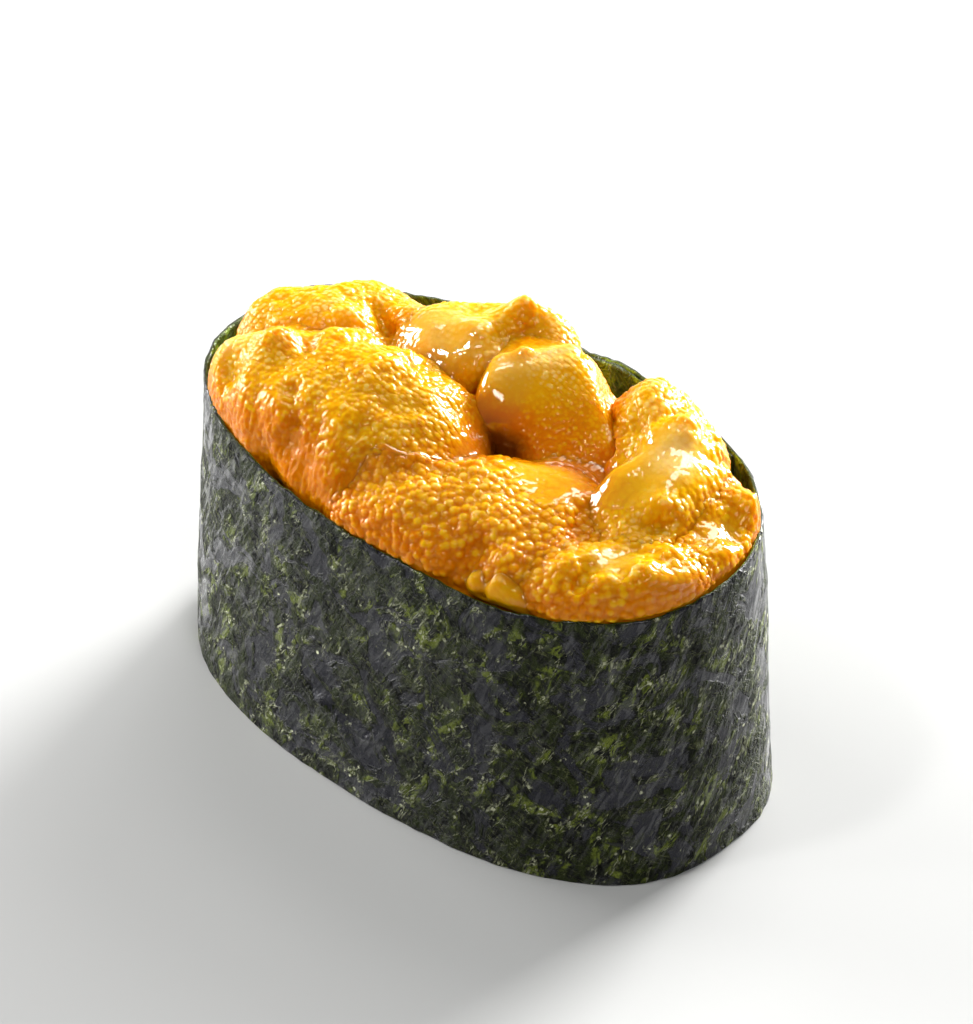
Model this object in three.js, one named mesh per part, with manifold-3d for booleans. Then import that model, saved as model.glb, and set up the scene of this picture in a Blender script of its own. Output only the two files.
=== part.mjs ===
// Sea urchin gunkan sushi, in millimetres, +Z up, standing on Z = 0 with its long way along X.
// A strip of dried seaweed is wound round a pressed cake of rice, lapped over itself at the back,
// and stands above the rice as a collar. Tongues of sea urchin roe lie heaped in the collar.
// Each tongue is a curved spine with an oval section, rounded ends, dents and swellings.
// Where two tongues meet, the lower one is cut to the form of the upper one, with a thin gap.
import * as THREE from "three";
import { mergeVertices } from "three/addons/utils/BufferGeometryUtils.js";
import Module from "manifold-3d";

const wasm = await Module();
wasm.setup();

// The seaweed band.
const LENGTH = 60;
const WIDTH = 35.2;
const BAND_HEIGHT = 30;
const OVAL_POWER = 2.4; // 2 is an ellipse, and more is squarer
const RIM_SCALE = 0.962; // the rim's size as a share of the foot's
const BAND_THICK = 0.45;
const BAND_STEPS = 76;
const BAND_ROWS = 3;
const LAP_START = 40; // degrees round from +X where the strip's inner end lies
const LAP_LENGTH = 24;
const LAP_GAP = 0.1; // between the two layers of the lap
const LAP_STEP = 5; // length over which the strip climbs onto its own start
const FREE_END_LIFT = 0.2;
const FREE_END_LENGTH = 4;

// Soft places in the oval: angle in degrees, depth in mm, half width in degrees.
const OVAL_DENTS = [
  [148, 1.6, 13],
  [100, 0.5, 12],
  [-62, 0.25, 14],
];
const RIM_WAVES = [
  { count: 2, height: 0.3, turn: 0.6 },
  { count: 5, height: 0.15, turn: 1.9 },
];
// Dips in the rim, or rises where the depth is negative: angle, depth and half width.
const RIM_DIPS = [
  [126, 0.5, 24],
  [90, -0.6, 14],
];

// Gap between touching pieces.
const GAP = 0.33;

// The rice cake, and the cooked grains on its underside.
const RICE_TOP = 25;
const RICE_STEPS = 36;
const RICE_FOOT = 1.2; // the core's height above the ground, which the grains fill
const GRAIN = { length: 6.8, width: 3.1, height: 2.7 };
const GRAIN_PITCH = { along: 6.3, across: 4.1 };
const GRAIN_SINK = 0.5; // how much of a grain the ground presses flat

// The tongues' mesh fineness and the pitch of their uneven swellings.
const TONGUE_STEPS = 17;
const TONGUE_SIDES = 16;
const WAVE_PITCH = 9;

// The tongues of roe, upper ones first: each one is cut by those before it.
// spine: control points of a smooth curve. wide, thick: half sizes of the section.
// square: the section's oval power. blunt: fullness of the two ends. wave: height of the swellings.
// swell: x, y, z, radius and height of each single swelling, or of a dent where it is negative.
const TONGUES = [
  {
    name: "roe_middle",
    spine: [[-3.8, 5.4, 31], [1, 7.2, 32.8], [5.5, 6.4, 32.6], [13.4, 5.7, 29.2]],
    wide: 5.8, thick: 4.8, square: 3, blunt: 4.4, wave: 0.2, colour: 0xd98a14,
    swell: [[-1.2, 9.4, 36.5, 2.2, -0.7], [11.4, 7, 32.6, 2.6, 0.8]],
  },
  {
    name: "roe_rim_piece",
    spine: [[11.5, -14, 29.2], [14.7, -13.5, 31], [18.6, -12.2, 29]],
    wide: 1.4, thick: 1.3, square: 2.2, blunt: 2.4, wave: 0.1, colour: 0xf0a61e,
    swell: [[12.5, -14.5, 30.5, 0.9, 0.8], [15.2, -13.8, 31, 1.1, 0.9]],
  },
  {
    name: "roe_front_right",
    spine: [[15.5, -11.2, 28.8], [22.5, -8.4, 31], [28.6, -0.6, 28]],
    wide: 4.6, thick: 4.3, square: 2.3, blunt: 2.8, wave: 0.4, colour: 0xe09020,
    swell: [[19.4, -9.4, 33, 1.8, 0.5], [24.2, -6.8, 33, 1.8, 0.4], [24, -1.5, 32, 1.8, 1.4]],
  },
  {
    name: "roe_front_middle",
    spine: [[-5.8, -13.2, 28.4], [3.2, -10.6, 30.6], [12.4, -7, 30], [20, -3.4, 28]],
    wide: 7.4, thick: 4.8, square: 2.4, blunt: 3.6, wave: 0.3, colour: 0xe29a26,
    swell: [
      [-3.3, -10.9, 33.2, 3.5, 1.2], [14.1, -13.4, 33, 1.8, 0.6], [11, -13, 32.5, 1.8, -0.8],
      [9.5, 1.5, 31, 4.5, 2.6], [4, -2.5, 31, 3, 0.8],
    ],
  },
  {
    name: "roe_front_left",
    spine: [[-24.6, -5.8, 29], [-16, -9, 31.2], [-5, -5.2, 34.4], [2.8, -4.6, 27.8]],
    wide: 8.2, thick: 5.8, square: 2.3, blunt: 3.4, wave: 0.4, colour: 0xe6a436,
    swell: [
      [-18.8, -6.7, 36.5, 2, 0.6], [-16.4, -4.8, 36, 1.8, -0.8], [-11.8, -3.2, 37, 2.2, 0.5],
      [-20.2, -12.1, 35, 2, -0.7], [-12.7, -10.8, 36, 1.7, -1], [-10.4, -14.5, 33.5, 1.7, -0.9],
      [-4.9, -10, 35.5, 1.6, -0.4], [-5.5, -15.5, 28, 5, 3], [-23.8, -8.6, 33.4, 2.8, 1.4],
    ],
  },
  {
    name: "roe_right",
    spine: [[5.5, 12.3, 29], [14.5, 13.5, 31.5], [18, 4, 33], [21, -5, 28]],
    wide: 5.2, thick: 5.1, square: 2.7, blunt: 2.8, wave: 0.3, colour: 0xe8a030,
    swell: [
      [16, 10.1, 35.5, 2, 0.5], [8.9, 12.5, 34.5, 2, 0.5], [8.7, 9.9, 31, 2.2, -0.8],
      [20.6, -0.2, 31.5, 2, -0.8], [14, 13.6, 34.6, 3, -0.9], [17.6, 12, 35.4, 2.5, -0.8],
    ],
  },
  {
    name: "roe_far_right",
    spine: [[18, 10, 28], [23.2, 8.3, 29.5], [26, 2, 29], [26, -3, 26.5]],
    wide: 3.8, thick: 3.8, square: 2.3, blunt: 2.6, wave: 0.3, colour: 0xdf9628,
    swell: [[25, 8.8, 32.6, 1.8, 2.2], [24.6, -0.6, 32, 1.8, 1.3]],
  },
  {
    name: "roe_back_middle",
    spine: [[-14, 1.5, 27.5], [-8, 6, 33], [-8, 10.5, 33], [1, 10.5, 29.5]],
    wide: 5.6, thick: 4.9, square: 2.3, blunt: 2.8, wave: 0.3, colour: 0xeaa83a,
    swell: [
      [-5.3, 10.8, 37.3, 2.4, 1.3], [-2.6, 10.5, 36.5, 1.6, -0.4], [-7, 14, 27, 4, 2.8],
      [2, 14, 27, 4, 2], [-8.6, 9.4, 37.4, 2.8, -1.3], [-2.6, 12.8, 35.4, 2.6, 1.4],
      [0.8, 11.6, 34.8, 2.6, 2.3],
    ],
  },
  {
    name: "roe_back_left",
    spine: [[-25.5, -5, 30], [-22, 3, 31.2], [-15, 4.5, 29], [-8, 7, 28.5]],
    wide: 5.6, thick: 4.8, square: 2.3, blunt: 3, wave: 0.4, colour: 0xf0c060,
    swell: [
      [-14.8, 2.9, 35, 1.7, -1.4], [-17, 0, 35.5, 2.2, 0.6], [-22, 7, 26.5, 4.5, 2.4],
      [-14, 10.5, 26, 4.5, 3], [-19, 5, 35.2, 4, -0.7],
    ],
  },
  {
    name: "roe_under",
    spine: [[-9, 0.5, 26], [3, 2, 27], [9, -2, 28.5], [21, 0, 28]],
    wide: 6.6, thick: 3.8, square: 2.3, blunt: 2.6, wave: 0.2, colour: 0xc87014,
    swell: [[2.5, -0.4, 31.2, 2.6, -1.6]],
  },
];

const material = (color, roughness) =>
  new THREE.MeshStandardMaterial({ color, roughness, metalness: 0 });

const radians = THREE.MathUtils.degToRad;
const smoothStep = (x) => THREE.MathUtils.smoothstep(x, 0, 1);
const bell = (x) => Math.exp(-x * x);

// Degrees from one direction to another, between -180 and 180.
const degreesBetween = (angle, place) =>
  THREE.MathUtils.radToDeg(
    Math.atan2(Math.sin(angle - radians(place)), Math.cos(angle - radians(place))),
  );

// A number from 0 to 1 that depends only on its two arguments.
function chance(seed, index) {
  const x = Math.sin(seed * 12.9898 + index * 78.233) * 43758.5453;
  return x - Math.floor(x);
}

// Distance from the axis to the band's outer face at the foot, in the direction of an angle.
function ovalRadius(angle) {
  const x = Math.abs(Math.cos(angle)) / (LENGTH / 2);
  const y = Math.abs(Math.sin(angle)) / (WIDTH / 2);
  const round = (x ** OVAL_POWER + y ** OVAL_POWER) ** (-1 / OVAL_POWER);
  return OVAL_DENTS.reduce(
    (radius, [place, depth, halfWidth]) =>
      radius - depth * bell(degreesBetween(angle, place) / halfWidth),
    round,
  );
}

// A point outset by a distance from the band's outer face, at a height. The band leans in a little.
function ovalPoint(angle, outset, z) {
  const lean = 1 - ((1 - RIM_SCALE) * z) / BAND_HEIGHT;
  const radius = ovalRadius(angle) * lean + outset;
  return [radius * Math.cos(angle), radius * Math.sin(angle), z];
}

// Height of the rim, which waves a little along the strip, with its dips.
function rimHeight(angle) {
  const dip = RIM_DIPS.reduce(
    (sum, [place, depth, halfWidth]) => sum + depth * bell(degreesBetween(angle, place) / halfWidth),
    0,
  );
  return RIM_WAVES.reduce(
    (height, wave) => height + wave.height * Math.sin(wave.count * angle + wave.turn),
    BAND_HEIGHT - dip,
  );
}

const geometryFrom = (position, index) =>
  new THREE.BufferGeometry()
    .setAttribute("position", new THREE.Float32BufferAttribute(position, 3))
    .setIndex(index);

// Joins closed loops of points, all of one length, by rings of faces. The ends are closed with fans,
// or joined to each other where the loops run round in a circle.
function skin(loops, isCircle = false) {
  const sides = loops[0].length;
  const points = loops.flat();
  const index = [];
  for (let i = 0; i < loops.length - (isCircle ? 0 : 1); i++)
    for (let j = 0; j < sides; j++) {
      const a = i * sides + j;
      const b = i * sides + ((j + 1) % sides);
      const c = ((i + 1) % loops.length) * sides + ((j + 1) % sides);
      const d = ((i + 1) % loops.length) * sides + j;
      index.push(a, b, c, a, c, d);
    }
  if (isCircle) return geometryFrom(points.flat(), index);
  const middle = (loop) => loop[0].map((_, k) => loop.reduce((sum, p) => sum + p[k], 0) / sides);
  const first = points.push(middle(loops[0])) - 1;
  const last = points.push(middle(loops.at(-1))) - 1;
  const end = (loops.length - 1) * sides;
  for (let j = 0; j < sides; j++) {
    const next = (j + 1) % sides;
    index.push(first, next, j, last, end + j, end + next);
  }
  return geometryFrom(points.flat(), index);
}

// A closed mesh as a manifold-3d solid, facing outwards.
function solid(geometry) {
  const bare = geometry.clone();
  bare.deleteAttribute("normal");
  bare.deleteAttribute("uv");
  const merged = mergeVertices(bare);
  const vertProperties = new Float32Array(merged.attributes.position.array);
  const triVerts = new Uint32Array(merged.index.array);
  const made = new wasm.Manifold(new wasm.Mesh({ numProp: 3, vertProperties, triVerts }));
  if (made.volume() > 0) return made;
  return new wasm.Manifold(
    new wasm.Mesh({ numProp: 3, vertProperties, triVerts: triVerts.toReversed() }),
  );
}

// The largest body of a solid, as a geometry: loose scraps of a cut are dropped.
function geometryOf(manifold) {
  const bodies = manifold.decompose().sort((a, b) => b.volume() - a.volume());
  const { vertProperties, triVerts } = bodies[0].getMesh();
  const geometry = geometryFrom(vertProperties, new THREE.BufferAttribute(triVerts, 1));
  geometry.computeVertexNormals();
  return geometry;
}

// The strip of seaweed: a thin wall that runs once round and laps over its own start.
// Its steps are even in angle. The last LAP_LENGTH of it lies outside the first.
function bandGeometry() {
  const start = radians(LAP_START);
  const lapTurn = LAP_LENGTH / ovalRadius(start + 0.5);
  const whole = 2 * Math.PI + lapTurn;
  const loops = [];
  for (let i = 0; i <= BAND_STEPS; i++) {
    const turn = (whole * i) / BAND_STEPS;
    const angle = start + turn;
    const radius = ovalRadius(angle);
    const climb = smoothStep(1 + ((turn - 2 * Math.PI) * radius + 0.5) / LAP_STEP);
    const lift = smoothStep(1 - ((whole - turn) * radius) / FREE_END_LENGTH);
    const outset = (BAND_THICK + LAP_GAP) * climb + FREE_END_LIFT * lift;
    const heights = Array.from({ length: BAND_ROWS + 1 }, (_, row) => row / BAND_ROWS);
    const outer = heights.map((h) => ovalPoint(angle, outset, h * rimHeight(angle)));
    const inner = heights.map((h) => ovalPoint(angle, outset - BAND_THICK, h * rimHeight(angle)));
    loops.push([...outer, ...inner.reverse()]);
  }
  return skin(loops);
}

// The space that the roe can't take: the band and all beyond it, up to the rim.
function bandSpace(clear) {
  const steps = 96;
  const reach = 12;
  const loops = Array.from({ length: steps }, (_, i) => {
    const angle = (2 * Math.PI * i) / steps;
    const top = rimHeight(angle) + clear;
    return [
      ovalPoint(angle, -BAND_THICK - clear, -5),
      ovalPoint(angle, reach, -5),
      ovalPoint(angle, reach, top),
      ovalPoint(angle, -BAND_THICK - clear, top),
    ];
  });
  return skin(loops, true);
}

// The cake of rice without its grains, outset all round by a distance.
function riceCore(outset) {
  const ring = (inset, z) =>
    Array.from({ length: RICE_STEPS }, (_, i) =>
      ovalPoint((2 * Math.PI * i) / RICE_STEPS, outset - BAND_THICK - GAP - inset, z),
    );
  return skin([
    ring(1.6, RICE_FOOT - outset),
    ring(0.5, RICE_FOOT + 0.8),
    ring(0, RICE_FOOT + 2.2),
    ring(0, RICE_TOP - 3),
    ring(1.2, RICE_TOP - 1 + outset),
    ring(5, RICE_TOP + outset),
  ]);
}

// Cooked grains lying in rows on the underside of the cake, turned and shifted by chance.
function grainGeometries() {
  const grains = [];
  const rows = Math.floor(WIDTH / GRAIN_PITCH.across / 2);
  const places = Math.ceil(LENGTH / GRAIN_PITCH.along / 2);
  for (let row = -rows; row <= rows; row++)
    for (let place = -places; place <= places; place++) {
      const seed = row * 31 + place;
      const shift = row % 2 ? 0.5 : 0;
      const x = (place + shift) * GRAIN_PITCH.along + 1.2 * (chance(seed, 1) - 0.5);
      const y = row * GRAIN_PITCH.across + 0.9 * (chance(seed, 2) - 0.5);
      const room = ovalRadius(Math.atan2(y, x)) - Math.hypot(x, y);
      if (room < GRAIN.length / 2 + 0.5) continue;
      const sink = GRAIN_SINK * (0.6 + 0.8 * chance(seed, 4));
      const grain = new THREE.SphereGeometry(0.5, 6, 3)
        .scale(GRAIN.width, GRAIN.length, GRAIN.height)
        .rotateZ(Math.PI * chance(seed, 3))
        .translate(x, y, GRAIN.height / 2 - sink);
      grains.push(grain);
    }
  return grains;
}

// A point on a smooth curve from the first control point to the last (de Casteljau's way).
function curvePoint(control, u) {
  let points = control.map((p) => new THREE.Vector3(...p));
  while (points.length > 1) points = points.slice(1).map((p, i) => points[i].clone().lerp(p, u));
  return points[0];
}

// Uneven swelling at a place: five crossed waves, other ones for each seed.
function waveAt(point, seed) {
  let sum = 0;
  for (let k = 0; k < 5; k++) {
    const turn = 2 * Math.PI * chance(seed, k);
    const rise = 2 * chance(seed, k + 10) - 1;
    const level = Math.sqrt(1 - rise * rise);
    const way = new THREE.Vector3(level * Math.cos(turn), level * Math.sin(turn), rise);
    const pitch = WAVE_PITCH * (0.55 + 0.9 * chance(seed, k + 20));
    sum += Math.sin(2 * Math.PI * (point.dot(way) / pitch + chance(seed, k + 30)));
  }
  return sum / 2.2;
}

// A tongue of roe, outset all round by a distance.
function tongueGeometry(tongue, seed, outset) {
  const upward = new THREE.Vector3(0, 0, 1);
  const bend = (x) => Math.sign(x) * Math.abs(x) ** (2 / tongue.square);
  const loops = [];
  for (let i = 0; i <= TONGUE_STEPS; i++) {
    const q = -Math.cos((Math.PI * (i + 0.25)) / (TONGUE_STEPS + 0.5));
    const u = (q + 1) / 2;
    const centre = curvePoint(tongue.spine, u);
    const ahead = curvePoint(tongue.spine, u + 0.005);
    const along = ahead.sub(curvePoint(tongue.spine, u - 0.005)).normalize();
    const side = new THREE.Vector3().crossVectors(along, upward).normalize();
    const up = new THREE.Vector3().crossVectors(side, along);
    const full = Math.sqrt(1 - Math.abs(q) ** tongue.blunt);
    const loop = [];
    for (let j = 0; j < TONGUE_SIDES; j++) {
      const v = (2 * Math.PI * j) / TONGUE_SIDES;
      const radial = new THREE.Vector3()
        .addScaledVector(side, tongue.wide * full * bend(Math.cos(v)))
        .addScaledVector(up, tongue.thick * full * bend(Math.sin(v)));
      const point = centre.clone().add(radial);
      let height = tongue.wave * waveAt(point, seed);
      for (const [x, y, z, radius, rise] of tongue.swell)
        height += rise * bell(point.distanceTo(new THREE.Vector3(x, y, z)) / radius);
      radial.normalize();
      point.addScaledVector(radial, full * height + outset * Math.sqrt(1 - q * q));
      point.addScaledVector(along, outset * q);
      loop.push(point.toArray());
    }
    loops.push(loop);
  }
  return skin(loops);
}

const sushi = new THREE.Group();
sushi.name = "sea_urchin_gunkan_sushi";

function addPiece(name, geometry, finish) {
  const mesh = new THREE.Mesh(geometry, finish);
  mesh.name = name;
  sushi.add(mesh);
}

addPiece("seaweed_band", geometryOf(solid(bandGeometry())), material(0x2e3228, 0.45));

const ground = solid(new THREE.BoxGeometry(100, 100, 10).translate(0, 0, -5));
const rice = grainGeometries().reduce((sum, g) => sum.add(solid(g)), solid(riceCore(0)));
addPiece("rice_cake", geometryOf(rice.subtract(ground)), material(0xf2efe6, 0.6));

let taken = solid(bandSpace(GAP)).add(solid(riceCore(GAP)));
TONGUES.forEach((tongue, place) => {
  const whole = solid(tongueGeometry(tongue, place + 1, 0));
  addPiece(tongue.name, geometryOf(whole.subtract(taken)), material(tongue.colour, 0.3));
  taken = taken.add(solid(tongueGeometry(tongue, place + 1, GAP)));
});

export default sushi;
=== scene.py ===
import bpy
import numpy as np
from mathutils import Matrix, Vector


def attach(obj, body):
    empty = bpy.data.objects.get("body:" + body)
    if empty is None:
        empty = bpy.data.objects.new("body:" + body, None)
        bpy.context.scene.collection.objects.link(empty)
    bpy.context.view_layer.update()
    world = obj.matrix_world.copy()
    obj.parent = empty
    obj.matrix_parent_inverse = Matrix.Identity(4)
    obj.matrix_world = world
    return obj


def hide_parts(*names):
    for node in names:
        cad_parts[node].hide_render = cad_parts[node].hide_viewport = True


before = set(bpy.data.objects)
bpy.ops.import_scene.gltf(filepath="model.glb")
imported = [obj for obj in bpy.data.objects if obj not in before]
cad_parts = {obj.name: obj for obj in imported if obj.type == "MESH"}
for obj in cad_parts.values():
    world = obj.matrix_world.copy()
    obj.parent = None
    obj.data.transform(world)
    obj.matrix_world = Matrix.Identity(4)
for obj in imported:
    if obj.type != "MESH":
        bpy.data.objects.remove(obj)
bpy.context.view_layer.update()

# --- The seaweed band ---------------------------------------------------------------------------
# A strip of dried seaweed, pressed from small fronds as paper is from fibres. It is wound once
# round the rice and sticks to itself where it laps over its own start, at the back. Its upper edge
# stands above the rice as a collar.
MM = 0.001  # sizes are in millimetres until add_piece makes a mesh of them, in metres
LENGTH = 60.0
WIDTH = 35.2
BAND_HEIGHT = 30.0
OVAL_POWER = 2.4  # 2 is an ellipse, and more is squarer
RIM_SCALE = 0.962  # the rim's size as a share of the foot's
BAND_THICK = 0.45
LAP_START = 40.0  # degrees round from +X where the strip's inner end lies
LAP_LENGTH = 24.0
LAP_MIDDLE = 0.5  # radians from the lap's start to the place where its radius is taken
LAP_GAP = 0.1
LAP_STEP = 5.0  # length over which the strip climbs onto its own start
FREE_END_LIFT = 0.2
FREE_END_LENGTH = 4.0
OVAL_DENTS = [(148, 1.6, 13), (100, 0.5, 12), (-62, 0.25, 14)]  # degrees, depth, half width
RIM_WAVES = [(2, 0.3, 0.6), (5, 0.15, 1.9)]  # waves round the rim, height, turn
RIM_DIPS = [(126, 0.5, 24), (90, -0.6, 14)]  # degrees, depth, half width
BAND_STEPS = 520
BAND_ROWS = 84
EDGE_ROUND = 0.12  # how far the cut edges are worn round
EDGE_INSET = 0.3  # how far they are worn in from each face, as a share of the thickness
FRAY_LEVEL = 40.0  # the level that the rim's unevenness is read at, the same on both faces
BLUE_BLACK = (20, 20, 33)
GREEN_BLACK = (21, 24, 13)
FROND_GREEN = (60, 72, 20)
FROND_LIGHT = (122, 134, 50)
THREAD = (134, 140, 92)
# painted glints: near-white specks on the seaweed
GLINT_WHITE = (232, 234, 196)
# painted shade in the seaweed's pits
PIT_SHADE_BLACK = (10, 12, 7)
WET_GREEN = (160, 200, 44)
CREASES = 110


def bell(x):
    """One at zero, falling off evenly to both sides: e to the power of minus x squared."""
    return np.exp(-x * x)


def ease(x):
    """From 0 to 1 as x goes from 0 to 1, level at both ends: 3 x squared less 2 x cubed."""
    x = np.clip(x, 0, 1)
    return x * x * (3 - 2 * x)


def degrees_between(angle, place):
    """Degrees from one direction to another, between -180 and 180."""
    return (np.degrees(angle) - place + 180) % 360 - 180


def oval_radius(angle):
    """Distance from the axis to the band's outer face at the foot: an oval whose two shares, each
    to the oval power, add up to one, less a bell for each soft place."""
    along = np.abs(np.cos(angle)) / (LENGTH / 2)
    across = np.abs(np.sin(angle)) / (WIDTH / 2)
    radius = (along**OVAL_POWER + across**OVAL_POWER) ** (-1 / OVAL_POWER)
    for place, depth, half_width in OVAL_DENTS:
        radius = radius - depth * bell(degrees_between(angle, place) / half_width)
    return radius


def wall_radius(angle, z):
    """The band's outer face at a height: the foot's oval, which leans in evenly to the rim."""
    return oval_radius(angle) * (1 - (1 - RIM_SCALE) * z / BAND_HEIGHT)


def rim_height(angle):
    """The rim's height: the strip's height, plus its waves, less a bell for each dip."""
    height = BAND_HEIGHT + 0 * angle
    for place, depth, half_width in RIM_DIPS:
        height = height - depth * bell(degrees_between(angle, place) / half_width)
    for count, rise, turn in RIM_WAVES:
        height = height + rise * np.sin(count * angle + turn)
    return height


def chance(cell, salt):
    """A number from 0 to 1 for each whole-numbered cell: its three numbers, each times a large odd
    number, are mixed with the salt, bit by bit."""
    x, y, z = np.moveaxis(cell.astype(np.int64), -1, 0)
    mixed = (x * 73856093) ^ (y * 19349663) ^ (z * 83492791) ^ (salt * 2654435761)
    mixed = (mixed ^ (mixed >> 15)) * 2246822519 & 0xFFFFFFFF
    mixed = (mixed ^ (mixed >> 13)) * 3266489917 & 0xFFFFFFFF
    return ((mixed ^ (mixed >> 16)) & 0xFFFFFF) / 0x1000000


def crumple(points, pitch, salt):
    """Smooth uneven height from -1 to 1: a number by chance at each corner of a cubic lattice,
    blended between the corners by the ease curve along each axis."""
    place = points / pitch + 0.371 * salt
    cell = np.floor(place)
    part = ease(place - cell)
    height = np.zeros(points.shape[:-1])
    for corner in np.ndindex(2, 2, 2):
        share = np.where(np.array(corner) == 1, part, 1 - part).prod(axis=-1)
        height += share * chance(cell + np.array(corner), salt)
    return 2 * height - 1


def new_object(name, data):
    """An object of that mesh, light or lens, in the scene."""
    made = bpy.data.objects.new(name, data)
    bpy.context.scene.collection.objects.link(made)
    return made


def add_piece(name, node, points, faces, material, marks):
    """A mesh object that rides on the root body and replaces a node. marks are its attributes:
    one number for each point."""
    mesh = bpy.data.meshes.new(name)
    mesh.from_pydata((points * MM).tolist(), [], [face for part in faces for face in part.tolist()])
    mesh.polygons.foreach_set("use_smooth", np.ones(len(mesh.polygons), dtype=bool))
    for mark, values in marks.items():
        layer = mesh.attributes.new(mark, "FLOAT", "POINT")
        layer.data.foreach_set("value", values.ravel().astype(np.float32))
    mesh.update()
    mesh.materials.append(material)
    piece = new_object(name, mesh)
    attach(piece, "root")
    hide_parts(node)


def creases(run, z):
    """Height of short threads and folds strewn over the sheet by chance: each is an arc, a bell
    across its width, and fades towards its ends."""
    draw = np.random.default_rng(5)
    height = 0 * run + 0 * z
    for _ in range(CREASES):
        middle, level, half = draw.uniform([0, 1, 1], [160, 29, 4.5])
        turn, bend, rise = draw.normal([1.0, 0, 0.1], [0.8, 0.1, 0.16])
        along = (run - middle) * np.cos(turn) + (z - level) * np.sin(turn)
        across = (z - level) * np.cos(turn) - (run - middle) * np.sin(turn) - bend * along**2
        height = height + rise * bell(across / 0.42) * ease(1.4 * (1 - np.abs(along) / half))
    return height


def band_sheet():
    """The strip as a grid of section loops. A place along the strip gives an angle round the oval,
    which starts at the lap and turns once round and over its own start. A place round the loop
    gives a height and a face: up the outer face, and down the inner one a thickness further in.
    Both faces swell and crumple outwards from the axis, and the rim is cut a little unevenly."""
    start = np.radians(LAP_START)
    whole = 2 * np.pi + LAP_LENGTH / oval_radius(start + LAP_MIDDLE)
    turn = np.linspace(0, whole, BAND_STEPS + 1)[:, None]
    angle = start + turn
    radius = oval_radius(angle)
    climb = ease(1 + ((turn - 2 * np.pi) * radius + 0.5) / LAP_STEP)
    lift = ease(1 - (whole - turn) * radius / FREE_END_LENGTH)
    outset = (BAND_THICK + LAP_GAP) * climb + FREE_END_LIFT * lift
    heights = np.linspace(0, BAND_HEIGHT, BAND_ROWS + 1)
    heights = np.concatenate([[0, EDGE_ROUND], heights[1:-1], BAND_HEIGHT - np.array([EDGE_ROUND, 0])])
    level = np.concatenate([heights, heights[::-1]])[None, :] / BAND_HEIGHT
    inner = (np.arange(2 * len(heights)) >= len(heights))[None, :].astype(float)
    edge = np.isclose(level % 1, 0)
    inset = np.where(edge, np.abs(inner - EDGE_INSET), inner)
    at_rim = np.stack([np.cos(angle) * radius, np.sin(angle) * radius, angle * 0 + FRAY_LEVEL], axis=-1)
    fray = 0.2 * crumple(at_rim, 1.7, 3) + 0.12 * crumple(at_rim, 0.7, 4)
    z = level * (rim_height(angle) + fray)
    pace = np.hypot(radius, np.gradient(radius[:, 0], turn[:, 0])[:, None])
    run = np.concatenate([[0], np.cumsum((pace[1:] + pace[:-1])[:, 0] / 2)])[:, None] * whole / BAND_STEPS
    reach = wall_radius(angle, z) + outset - inset * BAND_THICK
    way = np.stack([np.cos(angle), np.sin(angle)], axis=-1)
    flat = np.concatenate([way * reach[..., None], z[..., None]], axis=-1)
    sheet = flat.copy()
    broad = 0.16 * crumple(flat, 8, 11) + 0.08 * crumple(flat, 3.4, 12)
    pimple = 0.055 * crumple(flat, 1.25, 13) + 0.035 * crumple(flat, 0.65, 14)
    relief = broad + creases(run, z) + np.where(inner > 0, -pimple, pimple)
    sheet[..., :2] += way * relief[..., None]
    sheet[..., 2] = np.maximum(sheet[..., 2], 0)
    return sheet, {"inner": inner + 0 * z, "run": MM * run + 0 * z, "rise": MM * z}


def wall_faces(rings, sides):
    """Quads between neighbouring section loops."""
    i, j = np.meshgrid(np.arange(rings - 1), np.arange(sides), indexing="ij")
    after = (j + 1) % sides
    wall = np.stack([i * sides + j, (i + 1) * sides + j, (i + 1) * sides + after, i * sides + after], -1)
    return wall.reshape(-1, 4)


def strip_faces(rings, sides):
    """The wall, and quads across the thickness at the strip's two ends, where place j of a loop
    lies opposite place sides - 1 - j."""
    k = np.arange(sides // 2 - 1)
    end = np.stack([k, k + 1, sides - 2 - k, sides - 1 - k], -1)
    return [wall_faces(rings, sides), end, (rings - 1) * sides + end[:, ::-1]]


def colour(red, green, blue):
    """A display colour, 0 to 255, as the linear colour that a shader takes."""
    share = np.array([red, green, blue]) / 255
    return (*np.where(share <= 0.04045, share / 12.92, ((share + 0.055) / 1.055) ** 2.4), 1.0)


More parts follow.
